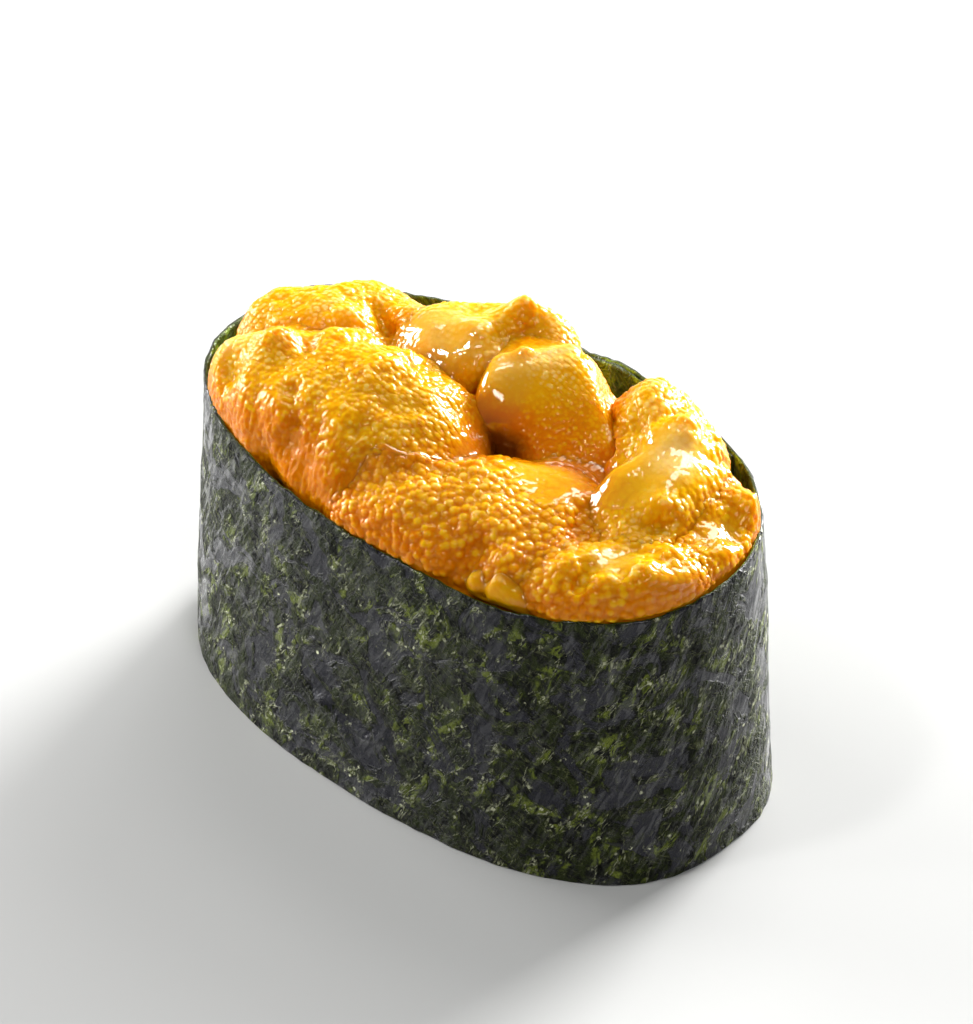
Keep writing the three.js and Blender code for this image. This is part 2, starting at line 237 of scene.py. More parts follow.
class Shade:
    """One socket of a material's nodes. Arithmetic on it adds Math nodes."""

    def __init__(self, tree, socket):
        self.tree = tree
        self.socket = socket

    def node(self, kind, settings, values, output=0):
        """A node of a kind: its settings are set first, then the values or links of its sockets."""
        made = self.tree.nodes.new("ShaderNode" + kind)
        for name, value in settings.items():
            setattr(made, name, value)
        for name, value in values.items():
            if isinstance(value, Shade):
                self.tree.links.new(value.socket, made.inputs[name])
            else:
                made.inputs[name].default_value = value
        return Shade(self.tree, made.outputs[output])

    def maths(self, operation, first, second):
        """A Math node on two numbers or sockets."""
        return self.node("Math", {"operation": operation}, {0: first, 1: second})

    def __add__(self, other):
        return self.maths("ADD", self, other)

    def __radd__(self, other):
        return self.maths("ADD", other, self)

    def __sub__(self, other):
        return self.maths("SUBTRACT", self, other)

    def __rsub__(self, other):
        return self.maths("SUBTRACT", other, self)

    def __mul__(self, other):
        return self.maths("MULTIPLY", self, other)

    def __rmul__(self, other):
        return self.maths("MULTIPLY", other, self)

    def between(self, low, high):
        """From 0 at low to 1 at high, level outside them."""
        settings = {"interpolation_type": "SMOOTHSTEP"}
        return self.node("MapRange", settings, {"Value": self, "From Min": low, "From Max": high})

    def blend(self, first, second):
        """A colour that goes from the first to the second as this goes from 0 to 1."""
        first, second = [x if isinstance(x, Shade) else colour(*x) for x in (first, second)]
        return self.node("Mix", {"data_type": "RGBA"}, {0: self, 6: first, 7: second}, 2)

    def mark(self, name):
        """The piece's own attribute of that name."""
        return self.node("Attribute", {"attribute_name": name}, {}, "Fac")

    def place(self):
        """This vector, or the place in the piece where this is no socket yet."""
        return self if self.socket else self.node("TexCoord", {}, {}, "Object")

    def noise(self, size, detail=3.0, stretch=(1, 1, 1), turn=(0, 0, 0), roughness=0.5, swirl=0.0):
        """Uneven cloudiness of a size in metres, turned and drawn out, and swirled round."""
        turned = self.node("Mapping", {}, {"Vector": self.place(), "Rotation": turn})
        scale = [1 / (size * k) for k in stretch]
        drawn = self.node("Mapping", {}, {"Vector": turned, "Scale": scale})
        values = {"Scale": 1.0, "Detail": detail, "Roughness": roughness, "Distortion": swirl}
        return self.node("TexNoise", {}, {"Vector": drawn, **values}, "Fac")

    def threads(self, size, stretch, turn, width):
        """Thin curved lines: where a drawn-out cloudiness passes its middle."""
        cloud = self.noise(size, 3, (1, stretch, 1), (0, 0, turn), swirl=0.7)
        return self.node("Math", {"operation": "ABSOLUTE"}, {0: cloud - 0.5}).between(width, 0.0)

    def cells(self, size, feature, output):
        """Cells round scattered points, about a size apart."""
        values = {"Vector": self.place(), "Scale": 1 / size}
        return self.node("TexVoronoi", {"feature": feature}, values, output)

    def bump(self, strength, distance, invert=False):
        """This height, or the depth, as relief of the surface."""
        values = {"Height": self, "Strength": strength, "Distance": distance}
        return self.node("Bump", {"invert": invert}, values)


def new_finish(name, fixed, coloured):
    """A material with one Principled shader. fixed are its plain values, and coloured(shade) gives
    those that vary over the surface."""
    material = bpy.data.materials.new(name)
    material.use_nodes = True
    tree = material.node_tree
    shader = tree.nodes["Principled BSDF"]
    for socket, value in fixed.items():
        shader.inputs[socket].default_value = value
    for socket, shade in coloured(Shade(tree, None)).items():
        tree.links.new(shade.socket, shader.inputs[socket])
    return material


def seaweed_shades(shade):
    """Smooth blue-black film between felted green fronds, which stand lighter in tufts, with thin
    curved threads, near-black pits painted as shade, and near-white specks and bits of thread painted
    as glints. A dull sheen lies on the film in streaks."""
    inner = shade.mark("inner")
    sheet = shade.node("CombineXYZ", {}, {0: shade.mark("run"), 1: shade.mark("rise"), 2: inner})
    film = sheet.noise(0.0046, 5, roughness=0.6, swirl=0.9)
    patch = sheet.noise(0.0034, 4, (1, 1.6, 1), (0, 0, 0.5), roughness=0.62, swirl=1.0)
    felt = sheet.noise(0.0011, 5, (1, 1.9, 1), (0, 0, 0.5), roughness=0.62, swirl=1.3)
    other = sheet.noise(0.0009, 4, (1, 2.4, 1), (0, 0, -0.7), roughness=0.6, swirl=1.0)
    fine = sheet.noise(0.00022, 3, (1, 3, 1), (0, 0, 0.45), swirl=0.8)
    streak = sheet.noise(0.0006, 4, (1, 5, 1), (0, 0, 0.45), roughness=0.65, swirl=0.7)
    steep = sheet.threads(0.0014, 2.8, 0.6, 0.035) * patch.between(0.44, 0.56)
    level = sheet.threads(0.0013, 2.6, -1.1, 0.035) * patch.between(0.54, 0.42)
    speck = sheet.cells(0.0011, "F1", "Distance")
    rough = film.between(0.44, 0.49)
    tuft = patch.between(0.5, 0.62)
    fibres = 0.55 * felt + 0.45 * other
    frond = fibres.between(0.44, 0.56) * (0.5 + 0.5 * tuft) * (0.06 + 0.94 * rough)
    light = felt.between(0.46, 0.57) * tuft * (0.1 + 0.9 * rough)
    pit = fibres.between(0.45, 0.37) * (0.2 + 0.8 * rough)
    thread = (steep + level) * (0.15 + 0.85 * rough) * fine.between(0.36, 0.58)
    # Painted glints: near-white specks and bits of thread.
    painted_glint = (speck.between(0.25, 0.12) + 0.8 * thread) * patch.between(0.49, 0.58) * fine.between(0.43, 0.53)
    base = rough.blend(BLUE_BLACK, GREEN_BLACK)
    base = frond.blend(base, FROND_GREEN)
    # Painted shade: the sunken pits are painted near black.
    base = pit.blend(base, PIT_SHADE_BLACK)
    base = light.blend(base, FROND_LIGHT)
    base = (0.7 * thread).blend(base, THREAD)
    base = painted_glint.blend(base, GLINT_WHITE)
    base = (inner * (0.25 + 0.4 * frond + 0.6 * tuft)).blend(base, WET_GREEN)
    height = rough * (0.8 * felt + 0.5 * other + 0.3 * fine) + 0.5 * streak + 0.4 * thread + 0.3 * film
    return {
        "Base Color": base,
        "Roughness": 0.25 + 0.15 * rough + 0.4 * pit - 0.08 * light - 0.08 * inner,
        "Coat Weight": (0.45 * (1 - rough) + streak.between(0.5, 0.6)) * (1 - pit),
        "Normal": height.bump(1.0, 0.0015),
    }


seaweed_fixed = {"Specular IOR Level": 0.12, "Coat IOR": 1.38, "Coat Roughness": 0.22}
seaweed_finish = new_finish("seaweed", seaweed_fixed, seaweed_shades)
band, band_marks = band_sheet()
band_faces = strip_faces(*band.shape[:2])
add_piece(
    "dried_seaweed", "seaweed_band", band.reshape(-1, 3), band_faces,
    seaweed_finish, band_marks,
)

# --- The rice cake ------------------------------------------------------------------------------
# Cooked short rice, seasoned with vinegar and pressed by hand into an oval cake. It fills the band
# up to the roe. Its grains stick to each other, and those underneath are pressed flat.
GAP = 0.33
RICE_TOP = 25.0
CORE_PROFILE = [[6, 1.7], [3.6, 1.9], [2.6, 3.2], [2.4, 12], [2.6, 21.5], [3.6, 23.6], [6, 24.2]]
CORE_SIDES = 120
GRAIN = np.array([3.3, 1.4, 1.2])  # half sizes of one grain
GRAIN_RINGS = 7
GRAIN_SIDES = 9
GRAIN_SPACING = 3.6
WALL_GRAINS = 31  # grains in one ring along the wall
WALL_RING_STEP = 2.5
RICE_WHITE = (236, 232, 220)
RICE_WARM = (214, 204, 176)


def grain_template():
    """One grain as a grid: rings along it, whose size is the root of 1 less the place squared to
    the 1.3, bent a little to one side, with a nick where the germ was."""
    along = -np.cos(np.pi * (np.arange(GRAIN_RINGS) + 0.5) / GRAIN_RINGS)[:, None]
    around = 2 * np.pi * np.arange(GRAIN_SIDES)[None, :] / GRAIN_SIDES
    size = (1 - np.abs(along) ** 2.6) ** 0.5
    nick = 1 - 0.35 * bell((along - 0.85) / 0.3) * ease(np.cos(around))
    x = along + 0 * around
    y = size * nick * np.cos(around) + 0.18 * (1 - along**2)
    z = size * nick * np.sin(around)
    ends = np.array([[-1.0, 0, 0], [1.0, 0, 0]])
    return np.concatenate([np.stack([x, y, z], -1).reshape(-1, 3), ends]) * GRAIN


def tube_faces(rings, sides):
    """Quads between neighbouring rings, and a fan at each end to a last point added there."""
    j = np.arange(sides)
    after = (j + 1) % sides
    first = np.stack([after, j, j * 0 + rings * sides], -1)
    last = np.stack([j, after, j * 0 + 1], -1) + np.array([1, 1, 0]) * (rings - 1) * sides
    last[:, 2] = rings * sides + 1
    return [wall_faces(rings, sides)[:, [0, 3, 2, 1]], first, last]


def turned(vectors, axis, angle):
    """Vectors turned about X, Y or Z by one angle for each."""
    c, s = np.cos(angle), np.sin(angle)
    a, b = [(1, 2), (2, 0), (0, 1)][axis]
    out = vectors.copy()
    out[..., a] = c * vectors[..., a] - s * vectors[..., b]
    out[..., b] = s * vectors[..., a] + c * vectors[..., b]
    return out


def wall_places(draw):
    """Grain middles on the sides of the cake, in rings one above another, each turned half a
    step, and the way that each wall faces."""
    rings = np.arange(2.0, RICE_TOP - 1, WALL_RING_STEP)
    step = np.arange(WALL_GRAINS)[None, :] + 0.5 * (np.arange(len(rings)) % 2)[:, None]
    angle = 2 * np.pi * step / WALL_GRAINS
    angle = angle + draw.uniform(-0.03, 0.03, angle.shape)
    z = rings[:, None] + draw.uniform(-0.4, 0.4, angle.shape)
    radius = wall_radius(angle, z) - BAND_THICK - GAP - GRAIN[1] - 0.1
    places = np.stack([radius * np.cos(angle), radius * np.sin(angle), z], -1).reshape(-1, 3)
    return places, angle.ravel()


def level_places(draw, height, inset, spacing):
    """Grain middles in rows on a level face, inside the cake by an inset, shifted by chance."""
    x, y = np.meshgrid(np.arange(-9, 10) * spacing * 1.25, np.arange(-8, 9) * spacing * 0.72)
    x = x + (np.arange(len(x)) % 2)[:, None] * spacing * 0.62
    x = x + draw.uniform(-0.7, 0.7, x.shape)
    y = y + draw.uniform(-0.45, 0.45, x.shape)
    keep = np.hypot(x, y) < wall_radius(np.arctan2(y, x), height) - BAND_THICK - GAP - inset
    z = np.full(x.shape, float(height)) + draw.uniform(-0.25, 0.25, x.shape)
    return np.stack([x, y, z], -1)[keep]


def rice_grains():
    """All grains as one set of points: each place's copy of the one grain, at its own size, rolled,
    tilted and turned, kept inside the cake's walls and above the ground."""
    draw = np.random.default_rng(7)
    under = level_places(draw, 1.0, 3.1, GRAIN_SPACING)
    second = level_places(draw, 2.6, 2.6, GRAIN_SPACING) + np.array([1.6, 1.2, 0])
    above = level_places(draw, RICE_TOP - 1.2, 3.6, GRAIN_SPACING * 1.06)
    sides, facing = wall_places(draw)
    level = np.concatenate([under, second, above])
    places = np.concatenate([level, sides])
    count = len(places)
    turn = np.concatenate([draw.uniform(0, np.pi, len(level)), facing + np.pi / 2])
    tilt = draw.normal(0, 0.13, count)
    tilt = tilt + np.where(np.arange(count) < len(level), 0, draw.normal(0, 0.5, count))
    grains = grain_template()[None] * draw.uniform(0.9, 1.08, (count, 1, 1))
    grains = turned(grains, 0, draw.uniform(0, 2 * np.pi, count)[:, None])
    grains = turned(grains, 1, tilt[:, None])
    grains = turned(grains, 2, turn[:, None]) + places[:, None, :]
    angle = np.arctan2(grains[..., 1], grains[..., 0])
    reach = np.hypot(grains[..., 0], grains[..., 1])
    limit = wall_radius(angle, grains[..., 2]) - BAND_THICK - 0.12
    grains[..., :2] *= (np.minimum(reach, limit) / reach)[..., None]
    tone = draw.uniform(0, 1, (count, 1)) * np.ones(grains.shape[1])
    pressed = draw.uniform(0, 0.08, (count, 1))
    grains[..., 2] = np.clip(grains[..., 2], pressed, RICE_TOP + 0.1 - pressed)
    return grains, tone


def core_rings():
    """The solid middle: the cake's oval, drawn in at the foot and the top, in rings round the
    axis, bumpy by a third of a grain."""
    inset, level = np.array(CORE_PROFILE).T[:, :, None]
    angle = 2 * np.pi * np.arange(CORE_SIDES)[None, :] / CORE_SIDES
    z = level + 0 * angle
    radius = wall_radius(angle, z) - BAND_THICK - inset
    rings = np.stack([radius * np.cos(angle), radius * np.sin(angle), z], -1)
    return rings + 0.35 * crumple(rings, 2.4, 21)[..., None] * np.array([1, 1, 0.5])


def copies_of(faces, count, points):
    """The same faces for each of a count of copies, each with a number of points."""
    shift = (points * np.arange(count))[:, None, None]
    return [(part[None] + shift).reshape(-1, part.shape[1]) for part in faces]


def rice_shades(shade):
    """Moist white, warmer and duller in some grains, with a faint mottling."""
    tone = shade.mark("tone")
    cloud = shade.noise(0.0012, 3)
    mixed = (0.7 * tone * cloud.between(0.3, 0.7)).blend(RICE_WHITE, RICE_WARM)
    relief = shade.noise(0.0003, 3).bump(0.25, 0.0001)
    return {"Base Color": mixed, "Roughness": 0.28 + 0.25 * cloud, "Normal": relief}


rice_fixed = {
    "Subsurface Weight": 0.35,
    "Subsurface Radius": (1.0, 0.8, 0.6),
    "Subsurface Scale": 0.0012,
    "Coat Weight": 0.3,
    "Coat Roughness": 0.2,
}
rice_finish = new_finish("cooked_rice", rice_fixed, rice_shades)
grains, grain_tone = rice_grains()
grain_faces = copies_of(tube_faces(GRAIN_RINGS, GRAIN_SIDES), len(grains), grains.shape[1])
add_piece(
    "rice_grains", "rice_cake", grains.reshape(-1, 3), grain_faces,
    rice_finish, {"tone": grain_tone},
)
core = core_rings()
core_ends = np.array([[0, 0, core[0, :, 2].mean()], [0, 0, core[-1, :, 2].mean()]])
core_points = np.concatenate([core.reshape(-1, 3), core_ends])
add_piece(
    "rice_core", "rice_cake", core_points, tube_faces(*core.shape[:2]),
    rice_finish, {"tone": np.full(len(core_points), 0.6)},
)

# --- The roe ------------------------------------------------------------------------------------
# Soft tongues of sea urchin roe, each a bag of tiny round eggs, laid over each other in the collar
# and brushed with a thin glaze of soy. The glaze lies smooth on some flanks and gathers in the
# creases between tongues, where it also fills the grain.
TOUCH = -0.16  # gap where two tongues touch: they run into each other
WAVE_PITCH = 9.0
SPINE_SAMPLES = 60
SKIN_STEP = 0.11  # spacing of the mesh along a tongue
SKIN_POINTS = 97000  # the most points in one tongue's mesh
TOPSIDE = 0.62  # how much denser the mesh is on top than underneath
OVERHANG = 0.4  # how far the roe may bulge out over the rim
DOME = 9.0  # radius of the roundness with which it then turns in
SHOULDER = 0.5  # how softly it turns down at the collar
COLLAR_ROOM = 0.1  # gap between the roe and the band
EGG_ROOM = 0.05  # the same gap, beside the tips of the eggs
HALVINGS = 9  # steps in the search for the last clear place
KNOT_PITCH = 2.5
KNOT_RADIUS = 0.8  # in pitches, as is an egg's
EGG_RADIUS = 0.62
# Painted shade: amber beside the creases where tongues meet.
CREASE_SHADE_WIDTH = 1.2  # the widest stretch of amber beside a crease

# Spots where the roe is painted paler or, below zero, deeper, partly as its own colour and partly
# as painted light and shade; then spots of dark brown painted shade in the deep hole: x, y, z,
# radius, share.
HUE_AND_LIGHT_SPOTS = [
    [-0.5, 4, 35.8, 3, 0.15], [2, 0.6, 31.5, 3, -0.8], [14, -14.2, 30.6, 2.6, 0.3],
    [15.5, 0.5, 34.4, 3, -0.2], [-23, -8, 34, 4, 0.5], [18.5, 5.4, 36, 2.4, 0.3],
    [10.5, 3, 31.6, 2.2, -0.5], [9, -3, 34, 2.5, 0.25], [0.5, 8.5, 36.4, 2.2, 0.3],
    [6.5, 4.6, 33, 3, -0.15], [22.5, -7, 33.5, 3, 0.25], [26, 4, 32, 2.6, 0.2],
    [-3, 9.4, 36.2, 1.8, -0.4], [-10, -14.5, 31.5, 4, -0.5], [-21, 1, 35.6, 4.5, 0.1],
]
# Painted shade: dark brown spots in the deep hole below the middle tongue.
HOLE_SHADE_SPOTS = [[1.6, 0, 30.6, 1.9, 1], [3.4, 1, 31, 1.6, 0.7], [0.2, 0.8, 31.8, 1.6, 0.6]]

# spine: points that the middle line bends towards; wide, thick: half sizes of the section; square:
# its oval power; blunt: how full the ends are; wave: height of the waves; swell: x, y, z, radius,
# height; folds: ridges, or creases where the height is negative, at x, y, z or from there to x, y,
# z, then radius, height; flats: faces that it is cut to, by facing, distance from the middle of the
# foot and softness; eggs: size and relief; glaze: how much lies on all of it; glazed: spots of
# more, x, y, z, radius; melt: how widely it runs into its neighbours; clumps: height of its knots
# of eggs; tint: from deep orange 0 to pale 1. The first tongue lies on top.
TONGUES = [
    dict(name="middle", slot="roe_glazed",
        spine=[[-3.8, 5.4, 31], [1, 7.2, 32.8], [5.5, 6.4, 32.6], [13.4, 5.7, 29.2]],
        wide=5.8, thick=4.8, square=3, blunt=4.4, wave=0.35,
        swell=[[-1.2, 9.4, 36.5, 2.2, -0.7], [11.4, 7, 32.6, 2.6, 0.8]],
        folds=[
            [-0.8, 2.2, 35, -3, 4.9, 35.4, 1, 0.5], [-3, 4.9, 35.4, -1.4, 6.9, 36.4, 0.9, 0.5],
            [-1.4, 6.9, 36.4, 1, 10.4, 36.1, 0.8, 0.5], [10.8, 5.2, 33, 13, 5, 32, 1.6, 2.6],
        ],
        flats=[[0.4, -0.43, 0.81, 27.3, 2.2], [0.66, 0.61, 0.44, 24.6, 1.6]],
        eggs=(0.46, 0.11), glaze=0.35, glazed=[[-1, 3, 35.5, 4]], melt=2.0, clumps=0.3, tint=0.48,
    ),
    dict(name="rim_piece", slot="roe_glazed",
        spine=[[11.5, -14, 29.2], [14.7, -13.5, 31], [18.6, -12.2, 29]],
        wide=1.4, thick=1.3, square=2.2, blunt=2.4, wave=0.1,
        swell=[],
        folds=[
            [12.5, -14.5, 30.5, 0.9, 0.8], [15.2, -13.8, 31, 1.1, 0.9],
            [13.9, -14, 31.4, 13.9, -14.8, 29.8, 0.5, -0.9],
        ],
        eggs=(0.8, 0.06), glaze=0.45, glazed=[], melt=0.3, clumps=0.05, tint=0.8,
    ),
    dict(name="front_right", slot="roe_grainy",
        spine=[[15.5, -11.2, 28.8], [22.5, -8.4, 31], [28.6, -0.6, 28]],
        wide=4.6, thick=4.3, square=2.3, blunt=2.8, wave=0.4,
        swell=[[19.4, -9.4, 33, 1.8, 0.5], [24.2, -6.8, 33, 1.8, 0.4]],
        folds=[
            [19.2, -11.1, 33.5, 1.4, 0.6], [23.3, -9.7, 33.2, 1.5, 0.7],
            [25.2, -5.9, 33.8, 26.2, -6.2, 33, 1.5, 0.6], [21.2, -9, 33.8, 22, -11, 32.5, 0.9, -0.6],
            [24, -7.6, 34, 25.3, -8.5, 32.5, 0.8, -0.5], [24.6, -2.4, 32.4, 23.4, -0.6, 31.6, 1.6, 1.6],
        ],
        eggs=(0.85, 0.3), glaze=0.05, glazed=[[27, -4.9, 31, 3], [22, -7, 34, 2]],
        melt=4, clumps=0.45, tint=0.45,
    ),
    dict(name="front_middle", slot="roe_grainy",
        spine=[[-5.8, -13.2, 28.4], [3.2, -10.6, 30.6], [12.4, -7, 30], [20, -3.4, 28]],
        wide=7.4, thick=4.8, square=2.4, blunt=3.6, wave=0.3,
        swell=[
            [-3.3, -10.9, 33.2, 3.5, 1.2], [14.1, -13.4, 33, 1.8, 0.6], [11, -13, 32.5, 1.8, -0.8],
            [9.5, 1.5, 31, 4.5, 2.6], [4, -2.5, 31, 3, 0.8],
        ],
        folds=[
            [-2.6, -11.6, 34.3, 5, -6.6, 34.4, 1.0, 0.6], [-2.4, -11.4, 34.6, 2, 0.9],
            [11.7, -12.1, 33.3, 11.4, -14.4, 31, 1.3, -0.9], [11, -11, 33.8, 11.9, -11.4, 33.6, 0.9, 0.5],
            [17.4, -5.8, 33, 15.2, -3, 33, 1.3, -0.9], [14.6, -11.4, 33, 15.8, -13, 32, 1.3, 0.6],
        ],
        eggs=(0.82, 0.36), glaze=0.0, glazed=[[12, -3, 33, 3.5], [8, -2, 33, 2.5]],
        melt=1.6, clumps=0.14, tint=0.26,
    ),
    dict(name="front_left", slot="roe_pale",
        spine=[[-24.6, -5.8, 29], [-16, -9, 31.2], [-5, -5.2, 34.4], [2.8, -4.6, 27.8]],
        wide=8.2, thick=5.8, square=2.3, blunt=3.4, wave=0.4,
        swell=[
            [-18.8, -6.7, 36.5, 2, 0.6], [-16.4, -4.8, 36, 1.8, -0.8], [-11.8, -3.2, 37, 2.2, 0.5],
            [-20.2, -12.1, 35, 2, -0.7], [-12.7, -10.8, 36, 1.7, -1], [-10.4, -14.5, 33.5, 1.7, -0.9],
            [-4.9, -10, 35.5, 1.6, -0.4], [-5.5, -15.5, 28, 5, 3], [-23.8, -8.6, 33.4, 2.8, 1.4],
        ],
        folds=[
            [-18.4, -7.2, 37.1, -18.9, -7.6, 36.8, 1.6, 0.7], [-15.2, -3.7, 36.8, -14.6, -3.4, 37, 1.6, 0.6],
            [-16.6, -5.4, 37, -15.6, -6.4, 37.3, 0.9, -1.0],
            [-21.2, -11.1, 33.9, -20.6, -11.6, 34.2, 1.6, -0.8],
            [-12.8, -11.4, 36.6, -10.4, -13.6, 35.2, 0.8, -0.9],
            [-9.4, -12.9, 35.2, -9, -12.8, 34.6, 1.3, 0.5],
            [-4.8, -11.5, 36.1, -4.6, -9.9, 35.9, 0.7, -0.9], [-4.3, -9.2, 36.2, -1.6, -6.8, 36.3, 0.8, 0.5],
            [-8, -5.5, 38, -7.4, -3.4, 37.6, 2, 0.5], [2, -3.2, 34.6, -1.4, -0.6, 36.4, 0.7, 0.35],
        ],
        eggs=(0.58, 0.17), glaze=0.0, glazed=[[2, -3, 32, 4]], melt=0.8, clumps=0.3, tint=0.3,
    ),
    dict(name="right", slot="roe_glazed",
        spine=[[5.5, 12.3, 29], [14.5, 13.5, 31.5], [18, 4, 33], [21, -5, 28]],
        wide=5.2, thick=5.1, square=2.7, blunt=2.8, wave=0.3,
        swell=[
            [16, 10.1, 35.5, 2, 0.5], [8.9, 12.5, 34.5, 2, 0.5], [8.7, 9.9, 31, 2.2, -0.8],
            [20.6, -0.2, 31.5, 2, -0.8], [14, 13.6, 34.6, 3, -0.9], [17.6, 12, 35.4, 2.5, -0.8],
        ],
        folds=[
            [11.6, 6.6, 34.6, 13.6, 4.4, 34.8, 2.2, -1.6], [10.4, 10.9, 36.3, 1.6, 0.6],
            [16.9, 9, 36.7, 17.4, 8.2, 36.6, 1.3, 0.6], [21.1, 0.6, 35, 22.8, 1.6, 34, 1.1, 0.7],
            [20.7, -1.6, 34.2, 22.2, -0.8, 33.6, 1.0, -0.7], [23.2, -0.2, 32.6, 22.2, -2.2, 32.8, 1.2, 0.6],
            [14.6, 10.6, 36.4, 14.2, 9.4, 36.6, 0.8, -0.6], [22.8, 0.7, 34.1, 21.8, -2.6, 33.6, 0.9, -0.8],
        ],
        eggs=(0.7, 0.2), glaze=0.2, glazed=[[18.5, 5, 36, 3.5], [14.5, 1, 34.5, 4]],
        melt=3.0, clumps=0.4, tint=0.6,
    ),
    dict(name="far_right", slot="roe_glazed",
        spine=[[18, 10, 28], [23.2, 8.3, 29.5], [26, 2, 29], [26, -3, 26.5]],
        wide=3.8, thick=3.8, square=2.3, blunt=2.6, wave=0.3,
        swell=[[25, 8.8, 32.6, 1.8, 2.2], [24.6, -0.6, 32, 1.8, 1.3]],
        folds=[
            [25.6, 5.4, 32.4, 26.4, 4.6, 32, 1.2, -0.5],
            [27, 2.2, 31.8, 27, 1.2, 31.4, 1.2, 0.5],
        ],
        eggs=(0.65, 0.2), glaze=0.1, glazed=[[26, 4, 32, 2.4]], melt=4.0, clumps=0.45, tint=0.42,
    ),
    dict(name="back_middle", slot="roe_glazed",
        spine=[[-14, 1.5, 27.5], [-8, 6, 33], [-8, 10.5, 33], [1, 10.5, 29.5]],
        wide=5.6, thick=4.9, square=2.3, blunt=2.8, wave=0.3,
        swell=[
            [-5.3, 10.8, 37.3, 2.4, 1.3], [-2.6, 10.5, 36.5, 1.6, -0.4], [-7, 14, 27, 4, 2.8],
            [2, 14, 27, 4, 2], [-8.6, 9.4, 37.4, 2.8, -1.3], [-2.6, 12.8, 35.4, 2.6, 1.4],
            [0.8, 11.6, 34.8, 2.6, 2.3],
        ],
        folds=[
            [-5, 10.9, 37.9, -5, 11.2, 37.6, 1.3, 1.0], [-4.1, 8.1, 35.9, -3.4, 9.6, 36, 1.8, -1.5],
            [-7.4, 6.2, 37, -6, 6.4, 37, 1.2, 0.4], [-10.2, 4, 36, -9, 2.6, 35.4, 1.5, 0.5],
        ],
        eggs=(0.6, 0.2), glaze=0.25, glazed=[[-9, 4, 36, 4]], melt=3.0, clumps=0.22, tint=0.72,
    ),
    dict(name="back_left", slot="roe_pale",
        spine=[[-25.5, -5, 30], [-22, 3, 31.2], [-15, 4.5, 29], [-8, 7, 28.5]],
        wide=5.6, thick=4.8, square=2.3, blunt=3, wave=0.4,
        swell=[
            [-14.8, 2.9, 35, 1.7, -1.4], [-17, 0, 35.5, 2.2, 0.6], [-22, 7, 26.5, 4.5, 2.4],
            [-14, 10.5, 26, 4.5, 3], [-19, 5, 35.2, 4, -0.7],
        ],
        folds=[
            [-17.3, 4.6, 35, -14.6, 3.5, 33.4, 0.8, -1.3], [-17.6, 1.6, 35.6, -16, 2.4, 35, 1.4, 0.6],
            [-14.5, 5.6, 34.4, -13.4, 4.6, 34, 1.3, 0.8],
        ],
        eggs=(0.52, 0.13), glaze=0.0, glazed=[[-17, 0, 35.5, 1.6]], melt=1.2, clumps=0.28, tint=0.52,
    ),
    dict(name="under", slot="roe_grainy",
        spine=[[-9, 0.5, 26], [3, 2, 27], [9, -2, 28.5], [21, 0, 28]],
        wide=6.6, thick=3.8, square=2.3, blunt=2.6, wave=0.2,
        swell=[[2.5, -0.4, 31.2, 2.6, -1.6]],
        folds=[],
        eggs=(0.7, 0.15), glaze=0.8, glazed=[], melt=2.5, clumps=0.1, tint=0.45,
    ),
]


def seed_chance(seed, index):
    """A number from 0 to 1: the fraction of a large number times a sine of both."""
    x = np.sin(seed * 12.9898 + index * 78.233) * 43758.5453
    return x - np.floor(x)


def wave_at(points, seed):
    """Uneven swelling at a place: five crossed waves, other ones for each seed."""
    total = 0
    for k in range(5):
        turn = 2 * np.pi * seed_chance(seed, k)
        rise = 2 * seed_chance(seed, k + 10) - 1
        level = np.sqrt(1 - rise * rise)
        way = np.array([level * np.cos(turn), level * np.sin(turn), rise])
        pitch = WAVE_PITCH * (0.55 + 0.9 * seed_chance(seed, k + 20))
        total = total + np.sin(2 * np.pi * (points @ way / pitch + seed_chance(seed, k + 30)))
    return total / 2.2


def spine_at(tongue, q):
    """Place on the spine, from -1 to 1, and the three ways of its section there: the control
    points are blended pairwise until one is left, and the ways come from a small step ahead."""

    def place(u):
        points = np.array(tongue["spine"], dtype=float)[:, None, :] * np.ones((1, len(u), 1))
        while len(points) > 1:
            points = points[:-1] + (points[1:] - points[:-1]) * u[None, :, None]
        return points[0]

    u = (q + 1) / 2
    step = (place(u + 0.005) - place(u - 0.005)) / 0.02
    pace = np.linalg.norm(step, axis=1)
    along = step / pace[:, None]
    side = np.cross(along, [0, 0, 1])
    side /= np.linalg.norm(side, axis=1)[:, None]
    return place(u), along, side, np.cross(side, along), pace


def fullness(tongue, q):
    """Share of the full section at a place on the spine: it closes roundly at both ends."""
    return np.sqrt(1 - np.clip(np.abs(q), 0, 1) ** tongue["blunt"])


def section_reach(tongue, a, b):
    """The section's half size in a direction: an oval of the tongue's own power."""
    power = tongue["square"]
    return ((np.abs(a) / tongue["wide"]) ** power + (np.abs(b) / tongue["thick"]) ** power) ** (-1 / power)


def from_line(points, start, end):
    """Distance of points from a straight line between two places."""
    way = end - start
    share = np.clip(((points - start) @ way) / max(way @ way, 1e-9), 0, 1)
    return np.linalg.norm(points - start - share[..., None] * way, axis=-1)


def spots(places, points):
    """The sum of a bell round each place: its x, y, z, radius and height."""
    total = np.zeros(points.shape[:-1])
    for x, y, z, radius, rise in places:
        total += rise * bell(np.linalg.norm(points - np.array([x, y, z]), axis=-1) / radius)
    return total


def swelling(tongue, points, seed):
    """Height over the plain section: waves, and a bell for each single swelling or dent."""
    return tongue["wave"] * wave_at(points, seed) + spots(tongue["swell"], points)


